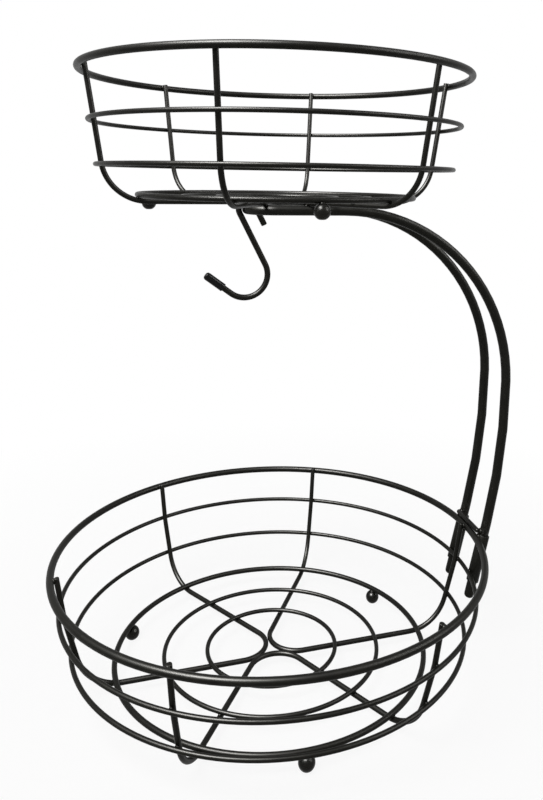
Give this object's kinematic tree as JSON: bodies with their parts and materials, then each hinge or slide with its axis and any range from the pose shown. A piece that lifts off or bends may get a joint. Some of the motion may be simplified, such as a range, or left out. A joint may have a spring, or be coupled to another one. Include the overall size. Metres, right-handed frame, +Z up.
{
  "type": "tiered wire fruit basket",
  "caption": "Round wire fruit basket on ball feet, with a smaller basket above it on a bent hairpin arm that lifts out of sleeves, and a swinging banana hook.",
  "frame": {"origin": "on the standing surface, at the foot of the lower basket's centre line", "axes": "+Z up along the lower basket's centre line; +X from the centre line towards the arm's legs; XZ is the arm's plane of symmetry"},
  "size_m": [0.3268, 0.3052, 0.4214],
  "materials": {
    "coated_wire": "satin black coating",
    "cap_rubber": "smooth black"
  },
  "bodies": {
    "lower_basket": {"lower_rim_ring": "coated_wire", "lower_side_ring_upper": "coated_wire", "lower_side_ring_lower": "coated_wire", "lower_base_ring_outer": "coated_wire", "lower_base_ring_middle": "coated_wire", "lower_base_ring_inner": "coated_wire", "lower_rib_wire_1": "coated_wire", "lower_rib_wire_2": "coated_wire", "lower_rib_wire_3": "coated_wire", "lower_foot_1": "coated_wire", "lower_foot_2": "coated_wire", "lower_foot_3": "coated_wire", "lower_sleeve_1": "coated_wire", "lower_sleeve_2": "coated_wire"},
    "arm": {"arm_wire": "coated_wire", "arm_crossbar": "coated_wire", "upper_rim_ring": "coated_wire", "upper_side_ring_upper": "coated_wire", "upper_side_ring_lower": "coated_wire", "upper_base_ring_outer": "coated_wire", "upper_base_ring_middle": "coated_wire", "upper_base_ring_inner": "coated_wire", "upper_rib_wire_1": "coated_wire", "upper_rib_wire_2": "coated_wire", "upper_rib_wire_3": "coated_wire", "upper_foot_1": "coated_wire", "upper_foot_2": "coated_wire", "upper_foot_3": "coated_wire"},
    "hook": {"hook_wire": "coated_wire", "hook_cap": "cap_rubber"}
  },
  "joints": [
    {"name": "arm_lift", "type": "slide", "parent": "lower_basket", "child": "arm", "axis": [0.2387, 0, 0.9711], "range_m": [0, 0.06]},
    {"name": "hook_swing", "type": "hinge", "parent": "arm", "child": "hook", "pos_m": [-0.0213, 0, 0.32568], "axis": [0, 1, 0], "range_deg": [-40, 45]}
  ]
}
